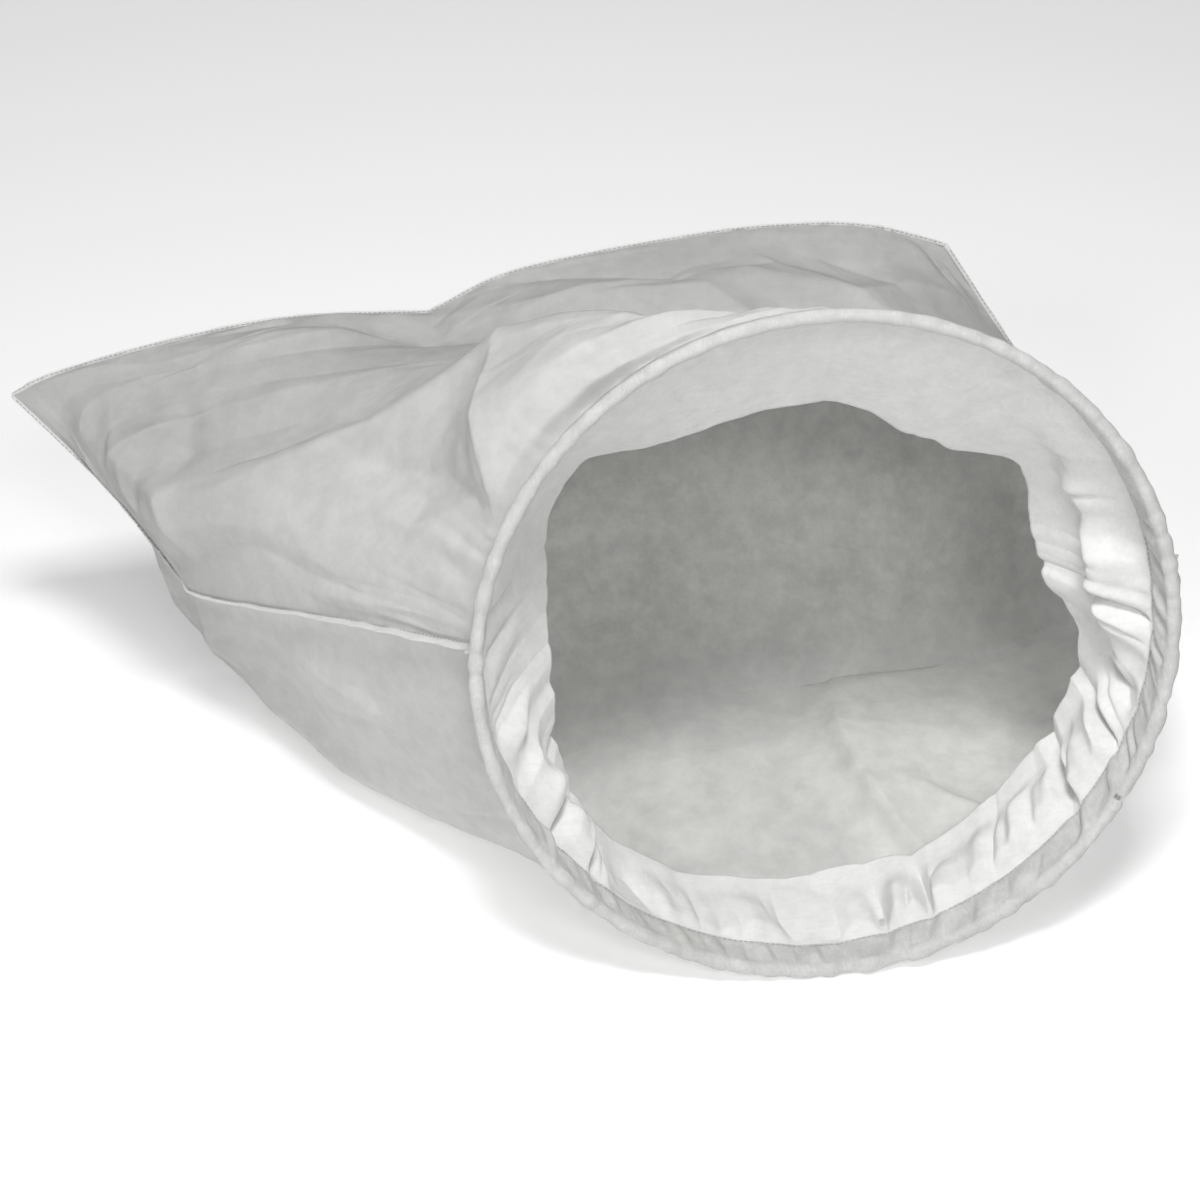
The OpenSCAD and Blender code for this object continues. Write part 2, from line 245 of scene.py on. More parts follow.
def facets(spacing, amount, seed, slant=0.0, stretch=1.0, still=0.35):
    """Height of paper-like facets over the panel's own (u, v): flat triangles between straight creases."""
    rng = np.random.default_rng(seed)
    x, y = U * SPAN_U, V * SPAN_V
    c, s = math.cos(slant), math.sin(slant)
    x, y = (c * x + s * y) / stretch, -s * x + c * y
    gx = np.arange(x.min() - spacing, x.max() + 2 * spacing, spacing)
    gy = np.arange(y.min() - spacing, y.max() + 2 * spacing, spacing)
    px, py = np.meshgrid(gx, gy)
    sites = np.stack([px.ravel(), py.ravel()], -1) + rng.uniform(-0.42, 0.42, (px.size, 2)) * spacing
    lift = rng.normal(0, amount, len(sites)) * (rng.random(len(sites)) > still)
    made = delaunay_2d_cdt([Vector(p) for p in sites.tolist()], [], [], 0, 1e-6)
    pts = np.array([tuple(p) for p in made[0]])
    src = [o[0] if o else 0 for o in made[3]]
    z = lift[src]
    out = np.zeros_like(x)
    for tri in made[2]:
        a, b, d = pts[list(tri)]
        za, zb, zd = z[list(tri)]
        lo, hi = pts[list(tri)].min(0), pts[list(tri)].max(0)
        m = (x >= lo[0]) & (x <= hi[0]) & (y >= lo[1]) & (y <= hi[1])
        if not m.any():
            continue
        det = (b[1] - d[1]) * (a[0] - d[0]) + (d[0] - b[0]) * (a[1] - d[1])
        if abs(det) < 1e-9:
            continue
        w0 = ((b[1] - d[1]) * (x[m] - d[0]) + (d[0] - b[0]) * (y[m] - d[1])) / det
        w1 = ((d[1] - a[1]) * (x[m] - d[0]) + (a[0] - d[0]) * (y[m] - d[1])) / det
        w2 = 1 - w0 - w1
        inside = (w0 > -1e-6) & (w1 > -1e-6) & (w2 > -1e-6)
        val = w0 * za + w1 * zb + w2 * zd
        old = out[m]
        old[inside] = val[inside]
        out[m] = old
    return out


def fold_height(g, points, width, width_right=None):
    """Height of a fold along points (u, v, height): a crisp crest that falls away to each side."""
    points = np.array(points, float)
    rows = np.round(points[:, 1] * (NV - 1)).astype(int)
    columns = np.round(points[:, 0] * (NU - 1)).astype(int)
    line = g[rows, columns]
    best = np.full(g.shape[:2], 1e9)
    height = np.zeros(g.shape[:2])
    side = np.zeros(g.shape[:2])
    for i in range(len(line) - 1):
        a, d = line[i], line[i + 1] - line[i]
        t = np.clip(((g - a) @ d) / (d @ d), 0, 1)
        off = np.linalg.norm(g - (a + t[..., None] * d), axis=-1)
        near = off < best
        (ua, va, ha), (ub, vb, hb) = points[i], points[i + 1]
        best = np.where(near, off, best)
        height = np.where(near, ha + (hb - ha) * t, height)
        side = np.where(near, (ub - ua) * (V - va) - (vb - va) * (U - ua), side)
    return height * np.exp(-best / np.where(side > 0, width_right or width, width))


# folds of each panel: points (u, v, height in mm; below 0 is a valley), the fold's width in mm,
# and, where it differs, the width on the side of larger u
TOP_FOLDS = [
    ([(0.10, 0.33, 2), (0.13, 0.30, 9), (0.20, 0.33, 14), (0.25, 0.33, 14), (0.30, 0.335, 15),
      (0.36, 0.32, 13),
      (0.47, 0.27, 9), (0.54, 0.20, 7), (0.58, 0.08, 3)], 34),
    ([(0.30, 0.335, 8), (0.31, 0.25, 24), (0.312, 0.18, 26), (0.316, 0.10, 20), (0.312, 0.03, 4)], 26, 60),
    ([(0.195, 0.34, 0), (0.212, 0.26, -7), (0.25, 0.18, -9), (0.285, 0.10, -7), (0.31, 0.04, 0)], 20),
    ([(0.10, 0.35, 8), (0.083, 0.327, 10), (0.035, 0.317, 8), (0.005, 0.30, 0)], 13),
    ([(0.07, 0.29, 0), (0.04, 0.27, 6), (0.012, 0.25, 0)], 9),
    ([(0.125, 0.78, 2), (0.17, 0.80, 9), (0.20, 0.81, 10), (0.25, 0.81, 10), (0.29, 0.81, 8),
      (0.365, 0.85, 2)], 24),
    ([(0.125, 0.78, 4), (0.10, 0.67, 9), (0.092, 0.54, 9), (0.10, 0.35, 7)], 18),
    ([(0.165, 0.71, 0), (0.15, 0.59, -8), (0.133, 0.48, -8), (0.10, 0.35, 0)], 15),
    ([(0.40, 0.96, 3), (0.46, 0.82, 10), (0.50, 0.82, 10), (0.54, 0.83, 9), (0.61, 0.85, 7),
      (0.70, 0.80, 9),
      (0.78, 0.70, 5)], 24),
    ([(0.64, 0.89, 6), (0.70, 0.80, 9), (0.80, 0.86, 8), (0.89, 0.88, 4)], 18),
    ([(0.66, 0.93, 0), (0.72, 0.90, -6), (0.77, 0.84, -4)], 12),
    ([(0.57, 0.81, 4), (0.60, 0.72, 7), (0.62, 0.60, 4)], 18),
    ([(0.54, 0.61, -2), (0.62, 0.615, -8), (0.70, 0.61, -10), (0.745, 0.60, -12), (0.79, 0.58, -11),
      (0.89, 0.57, -6)], 9),
    ([(0.40, 0.96, -5), (0.385, 0.85, -9), (0.37, 0.70, -8), (0.36, 0.50, -4)], 34),
]
BOTTOM_FOLDS = [
    ([(0.59, 0.463, -6), (0.573, 0.39, -18), (0.565, 0.317, -24), (0.578, 0.24, -24), (0.608, 0.14, -18),
      (0.62, 0.05, -6)], 9, 90),
    ([(0.59, 0.463, -4), (0.64, 0.49, -5), (0.70, 0.50, 0)], 13),
    ([(0.60, 0.30, -2), (0.618, 0.283, -6), (0.65, 0.237, -12), (0.69, 0.177, -10), (0.70, 0.12, 0)], 11),
    ([(0.015, 0.38, 3), (0.085, 0.347, 9), (0.143, 0.263, 10), (0.175, 0.183, 9), (0.20, 0.12, 4)], 26),
    ([(0.03, 0.27, 0), (0.06, 0.20, 8), (0.085, 0.137, 9), (0.12, 0.08, 0)], 17),
    ([(0.015, 0.127, 0), (0.05, 0.10, -6), (0.10, 0.09, -6), (0.15, 0.11, 0)], 14),
]


def crumple(g, folds, seed, amount, outward, near_mouth):
    """Adds folds, facets and puckers to a smooth panel; near its edges little is left of any move inward."""
    n = normals(g, outward)
    from_mouth = V * SPAN_V
    from_seam = np.minimum(np.minimum(U, 1 - U) * SPAN_U, (1 - V) * SPAN_V)
    h = sum(fold_height(g, *fold) for fold in folds)
    h = h + amount * facets(105, 9.0, seed, 0.5, 1.6) + amount * facets(50, 3.6, seed + 1, -0.4, 1.5)
    h = h + amount * facets(23, 1.1, seed + 2, 0.9, 1.4) + 1.6 * fbm(g, 70, seed + 3)
    sides = smoothstep(U, 0, 0.02) * smoothstep(1 - U, 0, 0.02)
    edge = sides * smoothstep(V, 0, 0.05) * smoothstep(1 - V, 0, 0.03)
    pucker = ridge_noise(g, 15, seed + 5) * smoothstep(V, 0, 0.02) * np.exp(-from_mouth / 45.0)
    apart = np.exp(-((from_seam - 20) / 40.0) ** 2)
    corner = smoothstep(V, 0.68, 0.9) * (1 - smoothstep(U, 0.06, 0.2))
    h = (h + 1.2 * apart + 4.0 * corner) * edge + 2.6 * pucker * sides
    behind_cuff = 0.3 + near_mouth * from_mouth + 0.35 * np.maximum(from_mouth - 58, 0)
    limit = np.minimum(0.10 * from_seam, behind_cuff)
    return g + n * np.maximum(h, -limit)[..., None]


def ridge_noise(g, size, seed):
    """Wrinkles that run away from the mouth: long in depth, short round the ring."""
    d = g - CENTRE
    a = np.arctan2(d[..., 0], -(d @ RING_UP))
    p = np.stack([np.cos(a) * RIM_R, np.sin(a) * RIM_R, depth_of(g) * 0.18], -1)
    return np.abs(value_noise(p, size, seed)) * 2 - 0.8 + 0.5 * value_noise(p, size * 0.45, seed + 1)


top_net, bottom_net = rows_array(TOP_ROWS, TOP_ANGLES), rows_array(BOTTOM_ROWS, BOTTOM_ANGLES)
smooth_top, smooth_bottom = grid(top_net, us, vs), grid(bottom_net, us, vs)
# creases of the net itself, each faded in and out: ridge, fold by the hoop, notch, and the floor's bend
ridge_part = (smoothstep(U, 0.08, 0.16) * (1 - smoothstep(U, 0.46, 0.58)))[..., None]
ridged_top = grid(top_net, us, vs, corner_row=2)
top_base = smooth_top + (ridged_top - smooth_top) * ridge_part
fold_part = smoothstep(U, 0.12, 0.25) * (1 - smoothstep(U, 0.42, 0.55)) * (1 - smoothstep(V, 0.33, 0.45))
top_base = top_base + (grid(top_net, us, vs, 2, 3) - ridged_top) * fold_part[..., None]
notch_part = smoothstep(V, 0.70, 0.95)[..., None]
top_base = top_base + (grid(top_net, us, vs, corner_column=4) - smooth_top) * notch_part
notched_bottom = smooth_bottom + (grid(bottom_net, us, vs, corner_column=4) - smooth_bottom) * notch_part
bend_part = (smoothstep(U, 0.18, 0.32) * (1 - 0.6 * np.exp(-((U - 0.565) / 0.045) ** 2)))[..., None]
bottom_base = notched_bottom + (grid(bottom_net, us, vs, corner_row=3) - smooth_bottom) * bend_part
top = crumple(top_base, TOP_FOLDS, SEED, 1.0, 1, 0.08)
bottom = crumple(bottom_base, BOTTOM_FOLDS, SEED + 40, 0.8, -1, 0.04)
bottom[..., 2] = np.maximum(bottom[..., 2], 0.5)

top_cloth = grid_object("top_cloth", top)
bottom_cloth = grid_object("bottom_cloth", bottom[:, ::-1])
for ob in (top_cloth, bottom_cloth):
    modifier(ob, "SOLIDIFY", thickness=CLOTH_T * 0.001, offset=0.0, material_offset=1)

# ---------------------------------------------------------------- the mouth band: hem sleeve and inner cuff
# inward fall of the cuff's free edge (angle from the lowest point in degrees, mm)
CUFF_FALL = np.array([
    (-180, 88), (-152, 85), (-138, 69), (-128, 42), (-114, 38), (-98, 52), (-84, 53), (-72, 44), (-62, 29),
    (-50, 18), (-38, 11), (-25, 11), (-10, 17), (3, 25), (15, 23), (24, 14), (36, 17), (53, 20),
    (70, 22), (80, 34),
    (90, 56), (98, 64), (108, 64), (117, 56), (122, 50), (128, 66), (136, 84), (150, 91), (166, 86),
    (172, 84),
    (180, 88)], float)
CUFF_DEPTH = 72.0
NA = 1600
OUTER_ROWS, ROUND_ROWS, INNER_ROWS, CUFF_ROWS = 14, 16, 24, 60
HEM_ROWS = OUTER_ROWS + ROUND_ROWS + INNER_ROWS
angles = np.linspace(-180, 180, NA, endpoint=False)


def periodic_smooth(values, steps):
    v = values.copy()
    for _ in range(steps):
        v = 0.25 * np.roll(v, 1) + 0.5 * v + 0.25 * np.roll(v, -1)
    return v


def bump_at(a, centre, width):
    d = (a - centre + 180) % 360 - 180
    return np.exp(-(d / width) ** 2)


def band_noise(size, s, seed, slant=0.15, reach=0.12):
    """Gathers of the band: long across it, short round the ring, leaning up towards the bag at the sides."""
    a = np.radians(angles) + (0.2 * slant - 0.55 * np.sin(np.radians(angles))) * s / RIM_R
    p = np.stack([np.cos(a) * RIM_R, np.sin(a) * RIM_R, np.full_like(a, s * reach)], -1)
    return value_noise(p, size, seed)


fall = periodic_smooth(np.interp(angles, CUFF_FALL[:, 0], CUFF_FALL[:, 1]), 90)
gather = np.clip(0.10 + 1.0 * bump_at(angles, 92, 34) + 0.75 * bump_at(angles, -52, 24)
                 + 0.65 * bump_at(angles, 5, 34) + 0.6 * bump_at(angles, 48, 22)
                 + 0.15 * bump_at(angles, -100, 30), 0, 1.1)


def gathers(s, seed=21):
    """Lobes between sharp valleys at two sizes, from about -0.45 to 1, and fine noise in -1 .. 1."""
    wide = np.minimum(np.abs(band_noise(34, s, seed, 0.5)) * 2.4, 1.1) - 0.45
    mid = np.abs(band_noise(17, s, seed + 1, -0.6)) * 1.4 - 0.4
    fine = band_noise(9, s, seed + 2, 0.3)
    return wide, mid, fine


tube = TUNNEL_R + HEM_CLOTH - 0.3
band = []
for s in np.linspace(HEM_DEPTH, 4, OUTER_ROWS):
    k = s / HEM_DEPTH
    wide, mid, fine = gathers(-s)
    r = WIRE_RING_R + tube * (1 - k) + (PANEL_R - WIRE_RING_R) * k
    band.append(mouth(angles, r + (0.5 + 0.8 * gather) * (0.7 * fine + 0.9 * mid) * k, s))
for ph in np.linspace(15, 165, ROUND_ROWS):
    wide, mid, fine = gathers(-4 - 0.01 * ph, 31)
    r = WIRE_RING_R + tube * math.cos(math.radians(ph))
    lump = (0.6 + 0.6 * gather) * (fine + mid)
    depth = -(tube + lump) * math.sin(math.radians(ph))
    band.append(mouth(angles, r + lump * math.cos(math.radians(ph)), depth))
for s in np.linspace(1, HEM_DEPTH, INNER_ROWS):
    k = s / HEM_DEPTH
    wide, mid, fine = gathers(s)
    puff = math.sin(math.pi * k) ** 0.7
    inn = gather * (4.2 * mid * puff + 2.2 * fine * puff + 2.4 * wide * k) + 1.1 * fine * puff + 1.2 * k
    inn = inn - 0.8 * math.exp(-((s - HEM_DEPTH) / 1.6) ** 2)
    band.append(mouth(angles, BORE_R + 0.2 - inn, s))
ROLL = bump_at(angles, 100, 24) + 0.5 * bump_at(angles, -60, 16)
for w in np.linspace(0.02, 1, CUFF_ROWS):
    s = HEM_DEPTH + CUFF_DEPTH * w
    wide, mid, fine = gathers(s)
    inn = 1.2 + fall * w * (0.6 + 0.4 * w)
    lobes = smoothstep(w, 0, 0.2) * (1 - 0.8 * smoothstep(w, 0.42, 0.8))
    inn = inn + gather * (19.0 * wide * lobes + 8.0 * mid * lobes
                          + 2.4 * fine * (1 - 0.8 * w) * smoothstep(w, 0, 0.05) + 1.8 * wide)
    inn = inn + ROLL * 17.0 * np.exp(-((w - 0.34) / 0.15) ** 2)
    inn = inn + (1 - np.minimum(gather, 1)) * 3.0 * band_noise(70, s, 90) * smoothstep(w, 0, 0.5)
    out_of_plane = gather * 6.0 * band_noise(30, s, 77, 1.2) * lobes
    p = mouth(angles, BORE_R + 0.4 - np.maximum(inn, 1.0), s + out_of_plane)
    p[:, 2] = np.maximum(p[:, 2], 2.2 + 9 * w * (1 - w))
    band.append(p)
band = np.array(band)
band[..., 2] = np.maximum(band[..., 2], 0.4)
mouth_band = grid_object("mouth_band", band, wrap_u=True)
in_hem = np.repeat(np.arange(len(band) - 1) < HEM_ROWS, NA)
mouth_band.data.polygons.foreach_set("material_index", in_hem.astype(np.int32))
modifier(mouth_band, "SOLIDIFY", thickness=CLOTH_T * 0.001, offset=0.0)


# ---------------------------------------------------------------- stitches
def stitches(name, points, tangents, lifts, size=(3.1, 0.5), bow=0.25):
    """Lock-stitches as short bowed threads at points, along tangents, standing on lifts."""
    sides, steps = 6, 5
    verts, faces = [], []
    for p, t, n in zip(points, unit(tangents), unit(lifts)):
        side = np.cross(t, n)
        base = len(verts)
        for i in range(steps):
            x = i / (steps - 1) * 2 - 1
            r = size[1] * (1 - 0.55 * x * x)
            c = p + t * (0.5 * size[0] * x) + n * bow * (1 - x * x)
            for k in range(sides):
                ang = 2 * math.pi * k / sides
                verts.append(c + side * (r * math.cos(ang)) + n * (r * math.sin(ang)))
        for i in range(steps - 1):
            for k in range(sides):
                m = (k + 1) % sides
                faces.append((base + i * sides + k, base + i * sides + m,
                              base + (i + 1) * sides + m, base + (i + 1) * sides + k))
        faces.append(tuple(base + k for k in range(sides - 1, -1, -1)))
        faces.append(tuple(base + (steps - 1) * sides + k for k in range(sides)))
    return mesh_object(name, to_frame(verts), faces)


def band_strip(name, centre, width, rows, lift):
    """A strip of cloth that lies on the band across it, at an angle round the mouth."""
    half = math.degrees(0.5 * width / RIM_R)
    at = np.linspace(centre - half, centre + half, 9)
    cols = (at + 180) / 360 * NA
    lo = np.floor(cols).astype(int)
    f = (cols - lo)[None, :, None]
    g = band[rows][:, lo % NA] * (1 - f) + band[rows][:, (lo + 1) % NA] * f
    g = g + normals(g, -1) * (lift + 0.25 * np.cos(np.linspace(-1.5, 1.5, 9)))[None, :, None]
    ob = grid_object(name, g)
    modifier(ob, "SOLIDIFY", thickness=0.0008, offset=0.0)
    return ob


SEAM_ANGLES = (-94, 98)
SEAM_LAP_ROWS, CUFF_LAP_ROWS = slice(0, HEM_ROWS - 10), slice(HEM_ROWS - 20, None)
left_end = band_strip("left_seam_lap", SEAM_ANGLES[0], 11, SEAM_LAP_ROWS, 0.7)
right_end = band_strip("right_seam_lap", SEAM_ANGLES[1], 11, SEAM_LAP_ROWS, 0.7)
cuff_lap = band_strip("cuff_joint_lap", -40, 9, CUFF_LAP_ROWS, 0.6)

STITCH = 4.0
ring = band[HEM_ROWS - 1]
seg = np.linalg.norm(np.roll(ring, -1, 0) - ring, axis=1)
run = np.concatenate([[0], np.cumsum(seg)])
count = int(run[-1] / STITCH)
at = (np.arange(count) + 0.5) * run[-1] / count
closed = np.vstack([ring, ring[:1]])
pos = np.stack([np.interp(at, run, closed[:, i]) for i in range(3)], -1)
tang = np.roll(pos, -1, 0) - np.roll(pos, 1, 0)
to_axis = unit((CENTRE + HEM_DEPTH * INWARD) - pos)
hem_stitches = stitches("hem_stitches", pos + to_axis * 0.55, tang, to_axis)

# ---------------------------------------------------------------- seams
def sweep(name, path, outs, ups, sections):
    """A closed band along path; sections holds one outline (across, up) per point of the path."""
    ring = np.array([[p + o * c[0] + u * c[1] for c in section]
                     for p, o, u, section in zip(path, outs, ups, sections)])
    n, k = ring.shape[:2]
    faces = grid_faces(n, k, True)
    faces.append(tuple(range(k - 1, -1, -1)))
    faces.append(tuple((n - 1) * k + c for c in range(k)))
    return mesh_object(name, to_frame(ring), faces)


def seam_frame(path, out_ref):
    t = unit(np.gradient(path, axis=0))
    up = unit(np.cross(t, np.array(out_ref, float)))
    out = np.cross(up, t)
    out = np.where((out @ np.array(out_ref, float))[:, None] < 0, -out, out)
    return out, (-up if up[:, 2].mean() < 0 else up)


def seam_section(width, thick):
    lower = [(-1.2, 0.5), (0.6 * width, 0.55), (width - 0.4, 0.42), (width, 0.15)]
    return [(x, -k * thick) for x, k in lower] + [(x, k * thick) for x, k in reversed(lower)]


def side_path(angle, column):
    return np.vstack([mouth(angle, PANEL_R + 0.6, np.linspace(17, 25, 4)),
                      spline(top_net[:, column], np.linspace(0.04, 6.0, 240))])


left_path, right_path = side_path(SEAM_ANGLES[0], 0), side_path(SEAM_ANGLES[1], 10)
end_path = broken_spline(np.array(CLOSED_END, float), np.linspace(0, 10, 400), 4)
# the way each seam's allowance points, away from the bag
LEFT_OUT, RIGHT_OUT, END_OUT = (-0.8, -0.6, 0), (1, 0, 0), (0, 0.5, 0.866)
seam_pieces = {}
for name, path, ref, widths, thick in (
        ("left_seam", left_path, LEFT_OUT, ((0, 9.5), (0.12, 8), (0.30, 4), (0.42, 2.2), (1, 1.8)), 1.9),
        ("right_seam", right_path, RIGHT_OUT, ((0, 1.5), (0.04, 3.5), (0.12, 6), (0.3, 6), (1, 2.2)), 1.9),
        ("end_seam_cloth", end_path, END_OUT, ((0, 1.6), (0.05, 2.4), (0.95, 2.4), (1, 1.6)), 1.7)):
    out, up = seam_frame(path, ref)
    steps = np.arange(len(path))
    wave = 0.5 * value_noise(np.stack([steps * 2.0] * 2, -1), 9, 5)[:, None]
    width = np.interp(steps / steps[-1], *np.array(widths).T) * (1 + 0.12 * value_noise(
        np.stack([steps * 2.0] * 2, -1), 13, 8))
    seam_pieces[name] = sweep(name, path + up * wave, out, up, [seam_section(w, thick) for w in width])


def seam_stitches(name, path, ref, width, pitch=STITCH):
    out, up = seam_frame(path, ref)
    run = np.concatenate([[0], np.cumsum(np.linalg.norm(np.diff(path, axis=0), axis=1))])
    at = np.arange(pitch, run[-1] - pitch, pitch)

    def pick(v):
        return np.stack([np.interp(at, run, v[:, i]) for i in range(3)], -1)
    t = np.gradient(path, axis=0)
    return stitches(name, pick(path + out * width + up * 1.15), pick(t), pick(up), bow=0.1)


seam_threads = {
    "left_seam_stitches": seam_stitches("left_seam_stitches", left_path, LEFT_OUT, 1.4),
    "right_seam_stitches": seam_stitches("right_seam_stitches", right_path, RIGHT_OUT, 1.4),
    "end_seam_stitches": seam_stitches("end_seam_stitches", end_path, END_OUT, 1.0)}

# ---------------------------------------------------------------- materials
class Nodes:
    """A short way to build a node tree."""

    def __init__(self, name):
        self.material = bpy.data.materials.new(name)
        self.material.use_nodes = True
        self.tree = self.material.node_tree
        self.tree.nodes.clear()
        self.out = self.add("OutputMaterial")
        self.bsdf = self.add("BsdfPrincipled")
        self.link(self.bsdf, "BSDF", self.out, "Surface")
        self.coords = self.add("TexCoord")

    def add(self, kind, **values):
        n = self.tree.nodes.new("ShaderNode" + kind)
        for k, v in values.items():
            if hasattr(n, k):
                setattr(n, k, v)
            else:
                n.inputs[k.replace("_", " ")].default_value = v
        return n

    def link(self, a, out, b, inp):
        self.tree.links.new(a.outputs[out], b.inputs[inp])

    def stretched(self, scale, turn=(0, 0, 0)):
        m = self.add("Mapping")
        m.inputs["Scale"].default_value = scale
        m.inputs["Rotation"].default_value = turn
        self.link(self.coords, "Object", m, "Vector")
        return m

    def noise(self, size, detail=4.0, rough=0.55, distort=0.0, vector=None):
        n = self.add("TexNoise")
        n.inputs["Scale"].default_value = 1.0 / size
        n.inputs["Detail"].default_value = detail
        n.inputs["Roughness"].default_value = rough
        n.inputs["Distortion"].default_value = distort
        if vector:
            self.link(vector, "Vector", n, "Vector")
        else:
            self.link(self.coords, "Object", n, "Vector")
        return n

    def ramp(self, source, out, lo, hi, dark=(0, 0, 0), light=(1, 1, 1)):
        r = self.add("ValToRGB")
        r.color_ramp.elements[0].position = lo
        r.color_ramp.elements[1].position = hi
        r.color_ramp.elements[0].color = (*dark, 1)
        r.color_ramp.elements[1].color = (*light, 1)
        self.link(source, out, r, "Fac")
        return r

    def mix(self, factor, a, b, kind="MIX"):
        """a and b are nodes with a Color output, mix nodes, or plain colours."""
        m = self.add("Mix")
        m.data_type = "RGBA"
        m.blend_type = kind
        if isinstance(factor, (int, float)):
            m.inputs["Factor"].default_value = factor
        else:
            self.link(factor, 0, m, "Factor")
        for socket, v in ((6, a), (7, b)):
            if isinstance(v, tuple):
                m.inputs[socket].default_value = (*v, 1)
            else:
                self.tree.links.new(v.outputs[2 if v.bl_idname == "ShaderNodeMix" else 0], m.inputs[socket])
        return m


def nonwoven(name, base, cloud_dark, fibre, through, uneven=0.08, stain=0.0, stain_colour=(0.34, 0.34, 0.30),
             painted_lit_floor=None, far_shade=1.0):
    """Thin spunbonded cloth that lets light through: cloudy, with fine crossing fibres and dust marks.

    cloud_dark is how dark its denser clouds are, fibre how strong the fibres, through how much light passes,
    uneven how much the passing light varies, painted_lit_floor a lighter colour painted on its lowest part as
    painted light on the floor, with dust marks and a painted shade left of the floor's ridge, and far_shade
    how much painted shade darkens it toward the closed end.
    """
    m = Nodes(name)
    place = m.add("SeparateXYZ")
    m.link(m.coords, "Object", place, "Vector")
    dark = tuple(c * cloud_dark for c in base)
    clouds = m.ramp(m.noise(0.017, 8, 0.70, 0.15), "Fac", 0.38, 0.64)
    patches = m.noise(0.11, 3, 0.5, 0.3)
    colour = m.mix(clouds, dark, base)
    colour = m.mix(m.ramp(patches, "Fac", 0.35, 0.7, (0.4,) * 3, (0,) * 3), colour, dark)
    fibres_a = m.noise(0.0018, 4, 0.6, 0.5, m.stretched((1, 0.18, 0.5), (0.3, 0.2, 0.5)))
    fibres_b = m.noise(0.0020, 4, 0.6, 0.5, m.stretched((0.18, 1, 0.6), (0.1, 0.5, -0.4)))
    light = m.ramp(fibres_a, "Fac", 0.50, 0.68, (0,) * 3, (fibre * 3,) * 3)
    thin = m.ramp(fibres_b, "Fac", 0.50, 0.68, (0,) * 3, (fibre * 3,) * 3)
    colour = m.mix(light, colour, tuple(min(1, c * 1.15) for c in base))
    colour = m.mix(thin, colour, tuple(c * 0.75 for c in base))
    if stain:
        marks = m.ramp(m.noise(0.075, 9, 0.75, 0.3), "Fac", 0.50, 0.72, (0,) * 3, (stain,) * 3)
        streaks = m.noise(0.02, 6, 0.7, 0.4, m.stretched((0.35, 1, 1), (0, 0.35, 0.2)))
        specks = m.ramp(streaks, "Fac", 0.58, 0.74, (0,) * 3, (stain * 0.9,) * 3)
        colour = m.mix(marks, colour, stain_colour)
        colour = m.mix(specks, colour, stain_colour)
    # painted light: the lowest part, the bag's floor, gets its own flat lighter colour, with dust marks on it
    if painted_lit_floor:
        near_floor = m.ramp(place, "Z", 0.006, 0.07, (1, 1, 1), (0, 0, 0))
        dust = m.ramp(m.noise(0.05, 8, 0.75, 0.3), "Fac", 0.48, 0.72, (0,) * 3, (0.34,) * 3)
        # painted shade: the floor is painted darker left of its ridge, below X 0.16 m, fading out by 0.195 m
        painted_shade_left_of_ridge = m.ramp(place, "X", 0.160, 0.195, (0.80,) * 3, (1, 1, 1))
        floor_painted_light_and_dust = m.mix(dust, m.mix(1.0, painted_shade_left_of_ridge, painted_lit_floor, "MULTIPLY"), stain_colour)
        colour = m.mix(near_floor, colour, floor_painted_light_and_dust)
    # painted shade: the colour darkens toward the closed end, from Y 0 to 0.12 m, down to far_shade
    far = m.ramp(place, "Y", 0.0, 0.12, (1, 1, 1), (far_shade,) * 3)
    colour = m.mix(1.0, colour, far, "MULTIPLY")
    m.tree.links.new(colour.outputs[2], m.bsdf.inputs["Base Color"])
    b = m.bsdf.inputs
    b["Roughness"].default_value = 0.75
    b["Specular IOR Level"].default_value = 0.25
    b["Sheen Weight"].default_value = 0.06
    b["Sheen Roughness"].default_value = 0.5
    height = m.mix(0.5, fibres_a, fibres_b)
    relief = m.mix(0.3, height, clouds)
    bump = m.add("Bump")
    bump.inputs["Strength"].default_value = 0.5
    bump.inputs["Distance"].default_value = 0.0006
    m.tree.links.new(relief.outputs[2], bump.inputs["Height"])
    m.link(bump, "Normal", m.bsdf, "Normal")
    glow = m.add("BsdfTranslucent")
    m.tree.links.new(m.mix(clouds, (0.95 - uneven,) * 3, (0.95, 0.95, 0.94)).outputs[2], glow.inputs["Color"])
    both = m.add("MixShader")
    both.inputs[0].default_value = through
    m.link(m.bsdf, "BSDF", both, 1)
    m.link(glow, "BSDF", both, 2)
    m.link(both, "Shader", m.out, "Surface")
    return m.material


def thread_material(name, base):
    m = Nodes(name)
    twist = m.add("TexWave", wave_type="BANDS", bands_direction="DIAGONAL")
    twist.inputs["Scale"].default_value = 700.0
    twist.inputs["Distortion"].default_value = 1.5
    m.link(m.coords, "Object", twist, "Vector")
    shade = m.ramp(twist, "Fac", 0.2, 0.8, tuple(c * 0.72 for c in base), base)
    m.link(shade, "Color", m.bsdf, "Base Color")
    m.bsdf.inputs["Roughness"].default_value = 0.6
    bump = m.add("Bump")
    bump.inputs["Strength"].default_value = 0.5
    bump.inputs["Distance"].default_value = 0.0002
    m.link(twist, "Fac", bump, "Height")
    m.link(bump, "Normal", m.bsdf, "Normal")
    return m.material


